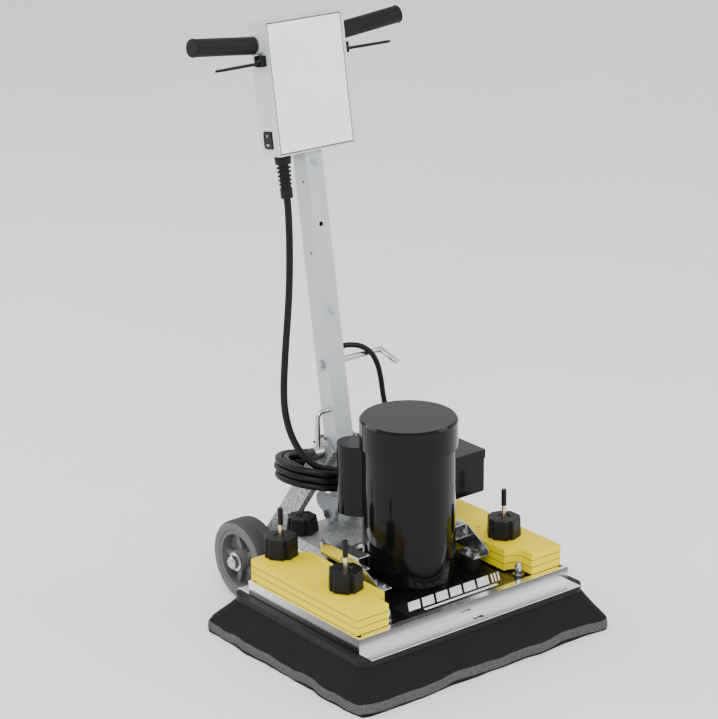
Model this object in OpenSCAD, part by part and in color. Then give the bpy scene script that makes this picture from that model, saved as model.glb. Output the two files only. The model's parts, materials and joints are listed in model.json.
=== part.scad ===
// Walk-behind concrete grinder: a rectangular orbital head with a vertical motor, ballast
// plates, a wheeled handle frame and a control box. Front is -Y, up is +Z, and the origin
// lies on the floor under the motor shaft.

/* [Deck] */
// Height of the deck rim above the floor
rim_top = 121; // [118:1:126]
// Half width of the deck rim
rim_half_w = 257; // [250:1:270]
// Half depth of the deck rim
rim_half_d = 170; // [165:1:180]
// Thickness of the deck plate
deck_t = 6; // [4:1:8]
// Half width of the skirt where it meets the floor
skirt_half_w = 303; // [295:1:320]

/* [Motor] */
// Radius of the motor barrel
motor_r = 89; // [84:1:89]
// Radius of the fan cover
cover_r = 93.5; // [93:0.5:100]
// Height of the fan cover's top
motor_top = 443; // [436:1:460]
// Radius of the pad's orbit
orbit = 2.5; // [1:0.5:4]

/* [Ballast] */
// Thickness of one ballast plate
plate_t = 14.3; // [10:0.1:15]
// Sideways place of the ballast studs
stud_x = 195; // [192:1:200]
// Fore and aft places of the front and rear ballast studs
stud_front_y = -52; // [-60:1:-45]
stud_rear_y = 148; // [130:1:148]

/* [Handle] */
// Backward lean of the handle tube, in degrees
lean = 9; // [5:0.5:12]
// Width of the square handle tube
tube_w = 40; // [36:1:44]
// Width of the control box
box_w = 182; // [174:1:190]
// Height of the control box
box_h = 254; // [220:1:260]
// Length of each grip
grip_len = 146; // [120:1:160]

/* [Wheels] */
// Radius of the tyres
wheel_r = 82; // [75:1:90]
// Width of the tyres
wheel_w = 54; // [40:1:54]
// Fore and aft place of the axle
axle_y = 331; // [320:1:345]

/* [Hidden] */

$fn = 64;
fit = 0.05;
deck_top = rim_top - 3;
deck_low = deck_top - deck_t;
lip_z = 92;
lip_front = 35;
sheet = 1.5;
skirt_front = -235;
skirt_back = 258;
skirt_band = 25;
skirt_t = 24;
ballast_z = rim_top + 1;
ballast_top = ballast_z + 3 * plate_t;
shaft_r = 12.5;
stud_r = 4;
bolt_r = 6;
stud_top = 258;
cap_low = 228;
// Fore and aft place of the chassis stud, which stands on the left
chassis_stud = [-96, 212];
pivot_y = 212;
pivot_z = 185;
clamp_y = 211;
clamp_z = 318;
tube_y0 = 161;
tube_low = 228;
tube_high = 990;
box_low = 910;
box_front = 31;
box_back = 26;
box_left = 85.5;
box_right = box_w - box_left;
axle_r = 10;
wheel_in = 116;
hook_s = 492;
barrel_top = 387;
channel_x = 134;
channel_top = 194;
channel_back = 104;
member_x = 122;
member_top = 165;
member_front = 97;
foot_z = 144;
mount_top = member_top - 2.5;
cord_d = 14;
lead_d = 11;
coil_fold = 60;
coil_run = 58;
coil_tilt = 12;
coil_rows = 3;
// Centre of the coil, around the foot of the handle tube
coil_at = [8, 230.5, 264];
// Route of the mains cord from its strain relief down to the coil
cord_route = [[-60, 288.4, 817], [-61, 284, 787], [-65, 277, 745], [-70, 271, 695],
    [-76, 266, 645], [-84, 261, 595], [-94, 255, 545], [-104, 248, 495], [-112, 241, 450],
    [-115, 233, 410], [-112, 222, 372], [-101, 210, 338], [-84, 195, 312], [-62, 183, 297],
    [-38, 175, 289.5], [-15, 170.5, 284]];
// Route of the motor lead from the handle tube over the cord hook to the terminal box
lead_route = [[0, 257, 470], [10, 267, 478], [28, 268, 493], [46, 260, 504], [62, 249, 506],
    [78, 237, 502], [91, 225, 489], [100, 217, 465], [105, 213, 435], [107, 208, 400],
    [109, 196, 360], [114, 176, 322], [124, 154, 295], [132, 136, 281], [132, 118.4, 281]];

// ---- helpers ----

// The handle's own frame: z along the tube, y backwards, origin at the tube line's floor point
module on_tube() { translate([0, tube_y0, 0]) rotate([-lean, 0, 0]) children(); }

// A block from its low corner to its high corner
module block(low, high) { translate(low) cube(high - low); }

// A round bar along X
module bar_x(x0, x1, r) { translate([x0, 0, 0]) rotate([0, 90, 0]) cylinder(h = x1 - x0, r = r); }

// A rectangle with round corners, given by its edges
module round_rect(x, y0, y1, r) {
    offset(r = r) translate([-x + r, y0 + r]) square([2 * (x - r), y1 - y0 - 2 * r]);
}

// The same on both sides of the machine
module both_sides() {
    children();
    mirror([1, 0, 0]) children();
}

// A hexagon head along +Z
module hex_head(r, h) { cylinder(h = h, r = r, $fn = 6); }

// Sweeps a round section along a route
function unit(v) = v / norm(v);
function heading(p, i) = unit(p[min(i + 1, len(p) - 1)] - p[max(i - 1, 0)]);
function ring(c, t, r, n) = let (
    u = unit(cross(t, [1, 0.01, 0])),
    w = cross(t, u)
) [for (k = [0 : n - 1]) c + r * (cos(360 * k / n) * u + sin(360 * k / n) * w)];
module sweep(route, d, n = 10) {
    last = len(route) - 1;
    points = [for (i = [0 : last]) each ring(route[i], heading(route, i), d / 2, n)];
    walls = [for (i = [0 : last - 1]) for (k = [0 : n - 1]) let (m = (k + 1) % n)
        each [[i * n + k, (i + 1) * n + k, (i + 1) * n + m],
            [i * n + k, (i + 1) * n + m, i * n + m]]];
    lids = [[for (k = [0 : n - 1]) k], [for (k = [n - 1 : -1 : 0]) last * n + k]];
    polyhedron(points, concat(walls, lids), convexity = 8);
}

// ---- deck ----

module stud_places() {
    for (x = [-stud_x, stud_x], y = [stud_front_y, stud_rear_y]) translate([x, y, 0]) children();
}

module deck_plate() {
    color("#161616") difference() {
        block([-rim_half_w + 2, -rim_half_d + 2, deck_low], [rim_half_w - 2, rim_half_d - 2, deck_top]);
        translate([0, 0, deck_low - 1]) cylinder(h = deck_t + 2, r = 32);
    }
}

// Front and rear profiles carry a lip, and the side profiles are plain
module deck_rims() {
    color("#d9dcde") difference() {
        union() {
            for (side = [0, 180]) rotate([0, 0, side]) {
                block([-rim_half_w, -rim_half_d, lip_z + sheet],
                    [rim_half_w, -rim_half_d + sheet, rim_top]);
                block([-rim_half_w, -rim_half_d - lip_front, lip_z],
                    [rim_half_w, -rim_half_d + sheet, lip_z + sheet]);
                block([-rim_half_w, -rim_half_d, rim_top - 3],
                    [rim_half_w, -rim_half_d + rim_flange, rim_top]);
            }
            both_sides() {
                block([rim_half_w - sheet, -rim_half_d + 1.7, lip_z + sheet],
                    [rim_half_w, rim_half_d - 1.7, rim_top - 3]);
                block([rim_half_w - rim_flange, -rim_half_d + rim_flange + 0.2, rim_top - 3],
                    [rim_half_w, rim_half_d - rim_flange - 0.2, rim_top]);
            }
        }
        // Round holes in the corners of the top flange
        for (x = [-247, 247], y = [-158, 158]) translate([x, y, rim_top - 4]) cylinder(h = 5, r = 4.5);
        // Keyhole slot in the front lip
        translate([20, -188, lip_z - 1]) cylinder(h = 4, r = 5);
        translate([0, -190.5, lip_z - 1]) cube([18, 5, 4]);
    }
}
rim_flange = 15;

module skirt_collar() {
    color("#1b1b1b") translate([0, 0, lip_z - 14]) linear_extrude(14) difference() {
        round_rect(rim_half_w + 17, -rim_half_d - 32, rim_half_d + 32, 22);
        round_rect(rim_half_w - 6, -rim_half_d + 6, rim_half_d - 6, 10);
    }
}

module skirt_shell(inset, low, high) {
    hull() {
        translate([0, 0, high - 1]) linear_extrude(1)
            round_rect(rim_half_w + 19 - inset, -rim_half_d - 34 + inset, rim_half_d + 36 - inset, 30);
        translate([0, 0, low]) linear_extrude(skirt_band)
            round_rect(skirt_half_w - inset, skirt_front + inset, skirt_back - inset, 42);
    }
}

module skirt() {
    color("#262626") difference() {
        skirt_shell(0, 0, lip_z - 14);
        skirt_shell(skirt_t, -1, lip_z - 10);
    }
}

module head_fasteners() {
    color("#c9cdd0") {
        // Domed nuts on the deck's front
        for (x = [-163, 163]) translate([x, -132, deck_top]) rotate_extrude()
            polygon([[0, 0], [11, 0], [11, 2.5], [8, 2.5], [8, 18], [6, 24], [3, 26.5], [0, 27]]);
        // Screws of the front foot brackets
        both_sides() for (y = [-62, -36]) translate([116, y, foot_z + 3]) {
            cylinder(h = 1.6, r = 9);
            translate([0, 0, 1.6]) hex_head(6.5, 6);
        }
        both_sides() translate([channel_x - 6, -4, 176]) rotate([0, 90, 0]) hex_head(6, 4);
        // Screws of the chassis member
        both_sides() translate([88, 140, member_top]) hex_head(7, 5);
        // Bolt that the handle pivots on
        translate([0, pivot_y, pivot_z]) {
            bar_x(-29, 29, bolt_r);
            for (x = [-36, 29]) translate([x, 0, 0]) rotate([0, 90, 0]) hex_head(10, 7);
        }
    }
}

// ---- ballast ----

// Outline of the right ballast plate
ballast_outline = [[250, -155], [250, 170], [205, 170], [141, 122], [148, -45], [148, -108],
    [156, -108], [166, -112], [173, -119], [176, -128], [176, -155]];

module ballast_stack() {
    for (i = [0 : 2]) translate([0, 0, ballast_z + i * plate_t]) difference() {
        linear_extrude(plate_t - 0.4) polygon(ballast_outline);
        for (y = [stud_front_y, stud_rear_y]) translate([stud_x, y, -1])
            cylinder(h = plate_t + 2, r = stud_r + 1);
        translate([185, 10, -1]) cylinder(h = plate_t + 2, r = 4);
    }
}

module ballast_right() { color("#f2d500") ballast_stack(); }
module ballast_left() { color("#f2d500") mirror([1, 0, 0]) ballast_stack(); }

module ballast_studs() {
    color("#c8b45c") stud_places() translate([0, 0, deck_top]) cylinder(h = stud_top - deck_top, r = stud_r);
    color("#c8b45c") translate([chassis_stud[0], chassis_stud[1], member_top]) cylinder(h = 22, r = stud_r);
}

module stud_caps() {
    color("#141414") stud_places() difference() {
        translate([0, 0, cap_low]) cylinder(h = stud_top + 3 - cap_low, r = stud_r + 1.2);
        translate([0, 0, cap_low - 1]) cylinder(h = stud_top + 1.2 - cap_low, r = stud_r + fit);
    }
}

// A chunky five-lobed knob that turns on a stud
module star_knob(h, blind) {
    color("#151515") difference() {
        linear_extrude(h) for (a = [0 : 72 : 288]) rotate(a) translate([0, -16]) square([31, 32]);
        translate([0, 0, -1]) cylinder(h = blind ? 19 : h + 2, r = stud_r + fit);
    }
}

knob_z = ballast_top + 1;

module ballast_knob(x, y) { translate([x, y, knob_z]) star_knob(39, false); }
module knob_front_left() { ballast_knob(-stud_x, stud_front_y); }
module knob_front_right() { ballast_knob(stud_x, stud_front_y); }
module knob_rear_left() { ballast_knob(-stud_x, stud_rear_y); }
module knob_rear_right() { ballast_knob(stud_x, stud_rear_y); }
module knob_chassis() {
    translate([chassis_stud[0], chassis_stud[1], member_top + 4]) star_knob(30, true);
}

// ---- motor ----

module motor_barrel() {
    color("#101010") difference() {
        union() {
            translate([0, 0, 128]) cylinder(h = barrel_top - 128, r = motor_r);
            translate([0, 0, deck_top]) cylinder(h = 10, r = motor_r - 4);
        }
        translate([0, 0, deck_top - 1]) cylinder(h = barrel_top, r = motor_r - 8);
    }
}

module end_bell(flip) {
    rotate([flip ? 180 : 0, 0, 0]) difference() {
        union() {
            cylinder(h = 8, r = motor_r - 8.1);
            cylinder(h = 24, r = 32);
        }
        translate([0, 0, -1]) cylinder(h = 30, r = 15);
        translate([0, 0, 8]) cylinder(h = 17, r = 23.5);
    }
}

module end_bells() {
    color("#8b8f92") translate([0, 0, 122]) end_bell(false);
    color("#8b8f92") translate([0, 0, barrel_top - 1]) end_bell(true);
}

module motor_bearings() {
    color("#c4c8cb") for (z = [130.2, barrel_top - 23.2]) translate([0, 0, z]) difference() {
        cylinder(h = 14, r = 23.4);
        translate([0, 0, -1]) cylinder(h = 16, r = shaft_r + fit);
    }
}

module stator() {
    color("#6d6f72") difference() {
        translate([0, 0, 190]) cylinder(h = 120, r = motor_r - 8.1);
        translate([0, 0, 189]) cylinder(h = 122, r = 46);
        for (a = [0 : 15 : 345]) rotate([0, 0, a]) translate([50, -2, 189]) cube([14, 4, 122]);
    }
    // End turns of the windings
    color("#b5651d") for (z = [172, 310.2]) translate([0, 0, z]) difference() {
        cylinder(h = 17.8, r = 70);
        translate([0, 0, -1]) cylinder(h = 20, r = 50);
    }
}

module fan_cover() {
    color("#101010")
        rotate_extrude($fn = 96) polygon([[0, motor_top], [cover_r - 4, motor_top],
            [cover_r, motor_top - 4], [cover_r, cover_low], [cover_r - 3, cover_low],
            [cover_r - 3, motor_top - 6], [cover_r - 6, motor_top - 3], [0, motor_top - 3]]);
}
cover_low = barrel_top + 0.3;

cap_turn = 126.9;
cap_out = 106;

module capacitor_shape(r, low, high) {
    rotate([0, 0, cap_turn]) translate([0, 0, low]) linear_extrude(high - low) union() {
        translate([cap_out, 0]) circle(r);
        translate([60, -r]) square([cap_out - 60, 2 * r]);
    }
}

module capacitor_cover() {
    color("#121212") difference() {
        capacitor_shape(34, 243, 383);
        capacitor_shape(32, 245, 381);
        translate([0, 0, 239]) cylinder(h = 150, r = motor_r + 0.1);
    }
}

module capacitor() {
    color("#d8d8d8") rotate([0, 0, cap_turn]) translate([cap_out + 7, 0, 248]) cylinder(h = 108, r = 17);
}

// Terminal box on the right of the barrel
term_low = [40, 10, 238];
term_high = [198, 95, 307];

module terminal_box() {
    color("#181818") {
        translate([112, 34, term_low[2] - 0.1]) rotate([180, 0, 0]) gland();
        translate([132, term_high[1] + 2.2, 281]) rotate([-90, 0, 0]) gland();
    }
    color("#121212") difference() {
        block(term_low, term_high);
        block(term_low + [2, 2, 2], term_high + [-2, -2, 1]);
        translate([0, 0, 230]) cylinder(h = 90, r = motor_r + 0.1);
    }
}

module terminal_lid() {
    color("#121212") difference() {
        block([40, term_low[1] - 2, 307.1], [term_high[0] + 2, term_high[1] + 2, 325]);
        block([30, term_low[1] + 1, 306], [term_high[0] - 1, term_high[1] - 1, 322.5]);
        translate([0, 0, 300]) cylinder(h = 40, r = motor_r + 0.1);
    }
}

module gland() {
    hex_head(13, 7);
    cylinder(h = 15, r = 9.5);
    cylinder(h = 21, r = 8);
}

// ---- rotor, eccentric and pad ----

module motor_shaft() { color("#b9bdc0") translate([0, 0, 66]) cylinder(h = 352, r = shaft_r); }

module rotor_core() {
    color("#5b5d60") translate([0, 0, 188]) difference() {
        cylinder(h = 124, r = 45);
        translate([0, 0, -1]) cylinder(h = 126, r = shaft_r + 0.02);
    }
}

module cooling_fan() {
    color("#2b2b2b") translate([0, 0, 392]) difference() {
        union() {
            cylinder(h = 24, r = 22);
            cylinder(h = 3, r = 72);
            for (a = [0 : 45 : 315]) rotate([0, 0, a]) translate([20, -1.5, 0]) cube([50, 3, 24]);
        }
        translate([0, 0, -1]) cylinder(h = 30, r = shaft_r + 0.02);
    }
}

// Hub with an offset crank pin and a counterweight opposite it
module eccentric_hub() {
    color("#7a7d80") difference() {
        union() {
            translate([0, 0, 60]) cylinder(h = 46, r = 26);
            translate([orbit, 0, 37]) cylinder(h = 24, r = 15);
            translate([0, 0, 64]) difference() {
                cylinder(h = 20, r = 62);
                translate([-18, -70, -1]) cube([100, 140, 22]);
            }
        }
        translate([0, 0, 66]) cylinder(h = 50, r = shaft_r + 0.02);
    }
}

module crank_bearing() {
    color("#c4c8cb") translate([orbit, 0, 38]) difference() {
        cylinder(h = 16, r = 26);
        translate([0, 0, -1]) cylinder(h = 18, r = 15 + fit);
    }
}

module drive_plate() {
    color("#9a9da0") translate([orbit, 0, 0]) difference() {
        union() {
            block([-226, -148, 24.2], [226, 148, 32]);
            translate([0, 0, 24.2]) cylinder(h = 31.8, r = 38);
        }
        translate([0, 0, 37]) cylinder(h = 30, r = 26.02);
    }
}

module foam_pad() {
    color("#333333") translate([orbit, 0, 5.2]) linear_extrude(18.8) round_rect(230, -152, 152, 8);
}

module abrasive_plate() {
    color("#5a5a5a") translate([orbit, 0, 0]) linear_extrude(5) round_rect(230, -152, 152, 8);
}

// ---- chassis on the deck ----

// Blocks that carry the chassis, and posts that let the pad orbit but not turn
module rubber_mounts() {
    color("#191919") both_sides() {
        for (y = [-50, -34]) translate([117, y, deck_top]) cylinder(h = foot_z - deck_top, r = 16);
        block([101, -50, deck_top], [133, -34, foot_z]);
        block([76, 122, deck_top], [112, 154.5, mount_top]);
        for (y = [-115, 115]) translate([190, y, 32.5]) cylinder(h = deck_low - 32.5, r = 16);
    }
}

module chassis_member() {
    color("#aeb2b4") {
        difference() {
            block([-member_x, member_front, 124], [member_x, 235, member_top]);
            block([-member_x + 2.5, member_front - 1, 123], [member_x - 2.5, 236, mount_top]);
            block([-member_x - 1, 172, 123], [member_x + 1, 236, 142]);
        }
        // Lugs that carry the handle's pivot
        for (x = [-22, 16]) translate([x, 0, 0]) rotate([90, 0, 90]) linear_extrude(6) difference() {
            union() {
                translate([pivot_y, pivot_z]) circle(14);
                translate([pivot_y - 14, member_top - 0.5]) square([28, 20.5]);
            }
            translate([pivot_y, pivot_z]) circle(bolt_r + 0.1);
        }
    }
}

module side_channels() {
    color("#d9dcde") both_sides() difference() {
        block([channel_x - 28, -13, member_top], [channel_x, channel_back, channel_top]);
        block([channel_x - 29, -14, member_top + 2], [channel_x - 2, channel_back + 1, channel_top - 2]);
    }
}

module foot_brackets() {
    color("#cfd3d6") both_sides() {
        block([101, -72, foot_z], [136.4, -18, foot_z + 3]);
        translate([channel_x + 0.2, 0, 0]) rotate([90, 0, 90]) linear_extrude(3)
            polygon([[-76, foot_z], [40, foot_z], [40, 178], [-6, 192], [-18, 189], [-76, 158]]);
    }
}

// ---- handle ----

module handle_tube() {
    color("#d6d9dc") on_tube() difference() {
        block([-tube_w / 2, -tube_w / 2, tube_low], [tube_w / 2, tube_w / 2, tube_high]);
        block([-tube_w / 2 + 2.5, -tube_w / 2 + 2.5, tube_low - 1],
            [tube_w / 2 - 2.5, tube_w / 2 - 2.5, tube_high + 1]);
        // Accessory hole through the front wall
        translate([0, 0, 767]) rotate([90, 0, 0]) cylinder(h = 30, r = 5);
        for (s = [712, 851]) translate([0, -4, s]) bar_x(-30, 0, 3.2);
        for (s = [600, 888]) translate([0, 0, s]) rotate([90, 0, 0]) cylinder(h = 30, r = 4.1);
        translate([0, 0, hook_s]) bar_x(-30, 30, 6.2);
        translate([0, clamp_v, clamp_s]) bar_x(-30, 30, bolt_r + 0.1);
    }
    // Bolts that stand out of the tube's front face
    color("#c9cdd0") on_tube() for (s = [600, 888]) translate([0, -tube_w / 2 + 2.6, s])
        rotate([90, 0, 0]) {
            cylinder(h = 18, r = 4);
            translate([0, 0, 4]) hex_head(7, 5);
        }
}
clamp_s = (clamp_y - tube_y0) * sin(lean) + clamp_z * cos(lean);
clamp_v = (clamp_y - tube_y0) * cos(lean) - clamp_z * sin(lean);

// Plate and two ears welded under the tube
module handle_foot() {
    color("#dfe2e4") {
        on_tube() block([-29, -tube_w / 2, tube_low - 6], [29, 34, tube_low - 0.1]);
        for (x = [-29, 23]) translate([x, 0, 0]) rotate([90, 0, 90]) linear_extrude(6) difference() {
            union() {
                translate([pivot_y, pivot_z]) circle(16);
                translate([pivot_y + 22, pivot_z + 21]) circle(19);
                polygon([[196, 187], [180, 221], [246, 211], [238, 188], [222, 173]]);
            }
            translate([pivot_y, pivot_z]) circle(bolt_r + fit);
        }
    }
}

strut_foot = [101, axle_y, wheel_r];
strut_head = [33, 211, 318];
strut_vec = strut_head - strut_foot;
strut_len = norm(strut_vec);
strut_tip = asin(strut_vec[0] / strut_len);
strut_lean = atan2(-strut_vec[1], strut_vec[2]);

module struts() {
    color("#a9adb0") both_sides() difference() {
        translate(strut_foot) rotate([strut_lean, 0, 0]) rotate([0, strut_tip, 0]) difference() {
            block([-8, -22.5, -26], [9, 22.5, strut_len + 18]);
            block([-9, -19.5, -27], [6, 19.5, strut_len + 19]);
        }
        translate([0, axle_y, wheel_r]) bar_x(80, 130, axle_r + 0.1);
        translate([0, clamp_y, clamp_z]) bar_x(15, 60, bolt_r + 0.1);
        block([0, 180, 300], [tube_w / 2 + 0.4, 270, 380]);
    }
}

// Axle and the caps that hold the wheels on it
module axle() {
    color("#b9bdc0") translate([0, axle_y, wheel_r]) bar_x(-178, 178, axle_r);
    color("#d2d5d8") both_sides() translate([170.6, axle_y, wheel_r]) rotate([0, 90, 0]) difference() {
        rotate_extrude() polygon([[0, 0], [19, 0], [19, 3], [14, 4], [13, 12], [9, 15.5], [0, 16]]);
        translate([0, 0, -1]) cylinder(h = 8.6, r = axle_r + fit);
    }
}

module clamp_bolt() {
    color("#c9cdd0") translate([0, clamp_y, clamp_z]) {
        bar_x(-60, 47, bolt_r);
        translate([47, 0, 0]) rotate([0, 90, 0]) hex_head(10, 8);
    }
}

// Round boss and bent rod, which turn on the clamp bolt
module clamp_lever() {
    color("#cfd3d6") translate([0, clamp_y, clamp_z]) {
        difference() {
            bar_x(-68, -48, 15);
            bar_x(-61, -45, bolt_r + fit);
        }
        translate([-54, 0, 12]) cylinder(h = 60, r = 5);
        translate([-42, 0, 72]) rotate([90, 0, 0]) rotate([0, 0, 90])
            rotate_extrude(angle = 90) translate([12, 0]) circle(5);
        translate([0, 0, 84]) bar_x(-42, -24, 5);
    }
}

// Round rod through the tube, with a turned-down end
module cord_hook() {
    color("#cfd3d6") on_tube() translate([0, 0, hook_s]) {
        bar_x(-30, hook_end, 6);
        translate([-27.5, 0, 0]) rotate([0, 90, 0]) hex_head(10, 7);
        translate([hook_end, 0, 0]) sphere(6.3);
        translate([hook_end, 0, 0]) rotate([112, 0, 0]) cylinder(h = 52, r = 6);
    }
}
hook_end = 124;

module control_box() {
    color("#eceeef") on_tube() difference() {
        block([-box_left, -box_front, box_low], [box_right, box_back, box_low + box_h]);
        block([-box_left + 2, -box_front + 4, box_low + 2],
            [box_right - 2, box_back - 2, box_low + box_h - 2]);
        // Window for the front panel
        block([-box_left + 1.2, -box_front - 1, box_low + 3],
            [box_right - 6, -box_front + 5, box_low + box_h - 3]);
        block([-tube_w / 2 - 0.3, -tube_w / 2 - 0.3, box_low - 1],
            [tube_w / 2 + 0.3, tube_w / 2 + 0.3, box_low + 3]);
        block([-box_left - 1, -13.4, 924], [-box_left + 3, 13.4, 958]);
    }
}

module box_panel() {
    color("#f6f7f7") on_tube() block([-box_left + 1.8, -box_front - 0.6, box_low + 4],
        [box_right - 7, -box_front + 3, box_low + box_h - 3.8]);
}

module contactor() {
    color("#3a3d40") on_tube() {
        block([28, -18, 940], [72, 23.5, 1010]);
        block([-70, -12, 1030], [-30, 23.5, 1070]);
    }
}

// Direction of each handlebar, rising outwards
module on_bar() {
    translate([box_left + 0.1, 334, 1107]) rotate([0, 83.5, -2.9]) children();
}

module handlebars() {
    for (side = [-1, 1]) color("#cfd3d6") difference() {
        on_side(side) on_bar() translate([0, 0, -6]) {
            cylinder(h = grip_len + 17, r = 12.4);
            cylinder(h = 18, r = 18);
        }
        block([-box_left - 0.1, 250, 1050], [box_right + 0.1, 400, 1170]);
    }
}

module on_side(side) { mirror([side < 0 ? 1 : 0, 0, 0]) children(); }

module grips() {
    color("#161616") both_sides() on_bar() translate([0, 0, 12.4])
        rotate_extrude() polygon([[12.45, 2], [17, 2], [17.4, 4], [17, 7], [17, grip_len - 5],
            [18, grip_len - 3], [17, grip_len], [0, grip_len], [0, grip_len - 1],
            [12.45, grip_len - 1]]);
}

lever_x = box_left + 7.5;
lever_s = 1091;

// The left lever's pieces and their like on the box's wider right side
module lever_sides() {
    mirror([1, 0, 0]) children();
    translate([box_right - box_left, 0, 0]) children();
}

module lever_housings() {
    color("#1a1a1a") lever_sides() on_tube() {
        difference() {
            block([box_left + 0.1, -22, 1081], [box_left + 14, -2, 1102]);
            block([box_left + 1.4, -19.2, 1083], [box_left + 15, -4.8, 1103]);
        }
        translate([lever_x, -20, lever_s]) rotate([-90, 0, 0]) cylinder(h = 16, r = 2.5);
    }
}

// Flat pointed blade with a round root on its pin
module lever_blade() {
    color("#202020") on_tube() difference() {
        union() {
            translate([lever_x, -18.5, lever_s]) rotate([-90, 0, 0]) cylinder(h = 13, r = 5.5);
            translate([0, 0, lever_s - 5.5]) linear_extrude(5)
                polygon([[lever_x - 3, -18.5], [lever_x - 3, -5.5], [130, -7], [192, -14], [202, -20],
                    [190, -23], [135, -21]]);
        }
        translate([lever_x, -30, lever_s]) rotate([-90, 0, 0]) cylinder(h = 40, r = 2.5 + fit);
    }
}

module lever_right() { translate([box_right - box_left, 0, 0]) lever_blade(); }
module lever_left() { mirror([1, 0, 0]) lever_blade(); }

rocker_s = 941;

module rocker() {
    color("#111111") on_tube() translate([-box_left + 4, 0, rocker_s]) difference() {
        union() {
            block([-7, -12.6, -16], [3, 12.6, 16]);
            rotate([90, 0, 0]) cylinder(h = 26.4, r = 2, center = true);
        }
        for (side = [-1, 1]) translate([-12.6, 0, side * 12]) rotate([0, side * 7, 0])
            block([-6, -14, -13], [6, 14, 13]);
    }
}

module strain_relief() {
    color("#171717") on_tube() translate([-60, -2, box_low]) rotate([180, 0, 0]) rotate_extrude()
        polygon(concat([[0, 0], [17, 0], [15, 18]],
            [for (i = [0 : 5]) each [[10, 18 + 8 * i], [10, 23 + 8 * i],
                [14 - 0.4 * i, 23 + 8 * i], [14 - 0.4 * i, 26 + 8 * i]]], [[12, 83], [0, 83]]));
}

// ---- cords ----

module mains_cord() { color("#121212") sweep(cord_route, cord_d); }
module motor_lead() { color("#121212") sweep(lead_route, lead_d); }

// Outer shape of the coil's turns: two columns side by side
module cord_coil() {
    inner = coil_fold - cord_d / 2;
    outer = coil_fold + 1.5 * cord_d;
    color("#121212") translate(coil_at) rotate([0, coil_tilt, 0])
        translate([0, 0, -coil_rows * cord_d / 2]) linear_extrude(coil_rows * cord_d) difference() {
            union() {
                for (x = [-coil_run, coil_run]) translate([x, 0]) circle(outer);
                translate([-coil_run, -outer]) square([2 * coil_run, 2 * outer]);
            }
            for (x = [-coil_run, coil_run]) translate([x, 0]) circle(inner);
            translate([-coil_run, -inner]) square([2 * coil_run, 2 * inner]);
        }
}

module mains_plug() {
    color("#161616") translate(coil_at) rotate([0, coil_tilt, 0])
        translate([10, coil_fold + 7, coil_rows * cord_d / 2]) {
            block([0, -15, 0], [46, 15, 26]);
            translate([46, 0, 13]) rotate([0, 90, 0]) cylinder(h = 16, r = 9);
            for (y = [-8, 8]) translate([-18, y, 13]) rotate([0, 90, 0]) cylinder(h = 19, r = 2.4);
        }
}

// ---- wheels ----

module tyre_right() {
    color("#5c5e60") translate([wheel_in, axle_y, wheel_r]) rotate([0, 90, 0]) rotate_extrude($fn = 96)
        polygon([[62, 0], [wheel_r - 7, 0], [wheel_r - 2, 3], [wheel_r, 8], [wheel_r, wheel_w - 8],
            [wheel_r - 2, wheel_w - 3], [wheel_r - 7, wheel_w], [62, wheel_w]]);
}

module rim_right() {
    color("#8a8c8e") translate([wheel_in, axle_y, wheel_r]) rotate([0, 90, 0]) difference() {
        union() {
            difference() {
                translate([0, 0, 3]) cylinder(h = wheel_w - 6, r = 61.9);
                translate([0, 0, 2]) cylinder(h = wheel_w - 4, r = 55);
            }
            translate([0, 0, 0.6]) cylinder(h = wheel_w - 1.2, r = 22);
            for (a = [18 : 72 : 306]) rotate([0, 0, a]) translate([20, -6, 14])
                cube([36, 12, wheel_w - 28]);
            translate([0, 0, 24]) cylinder(h = 5, r = 56);
        }
        translate([0, 0, -1]) cylinder(h = wheel_w + 2, r = axle_r + fit);
    }
}

module tyre_left() { mirror([1, 0, 0]) tyre_right(); }
module rim_left() { mirror([1, 0, 0]) rim_right(); }

// ---- the nodes ----

deck_plate();
deck_rims();
skirt_collar();
skirt();
motor_barrel();
end_bells();
stator();
fan_cover();
motor_bearings();
terminal_box();
terminal_lid();
capacitor_cover();
capacitor();
ballast_left();
ballast_right();
ballast_studs();
stud_caps();
chassis_member();
side_channels();
foot_brackets();
rubber_mounts();
head_fasteners();
motor_shaft();
rotor_core();
cooling_fan();
eccentric_hub();
drive_plate();
crank_bearing();
foam_pad();
abrasive_plate();
handle_tube();
handle_foot();
struts();
axle();
clamp_bolt();
control_box();
box_panel();
contactor();
handlebars();
grips();
lever_housings();
strain_relief();
mains_cord();
cord_coil();
mains_plug();
motor_lead();
tyre_left();
rim_left();
tyre_right();
rim_right();
lever_left();
lever_right();
rocker();
clamp_lever();
cord_hook();
knob_front_left();
knob_front_right();
knob_rear_left();
knob_rear_right();
knob_chassis();
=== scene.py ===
"""Looks for the concrete grinder: a walk-behind rectangular orbital floor machine."""

import json
import math

import bmesh
import bpy
from mathutils import Matrix, Vector


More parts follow.
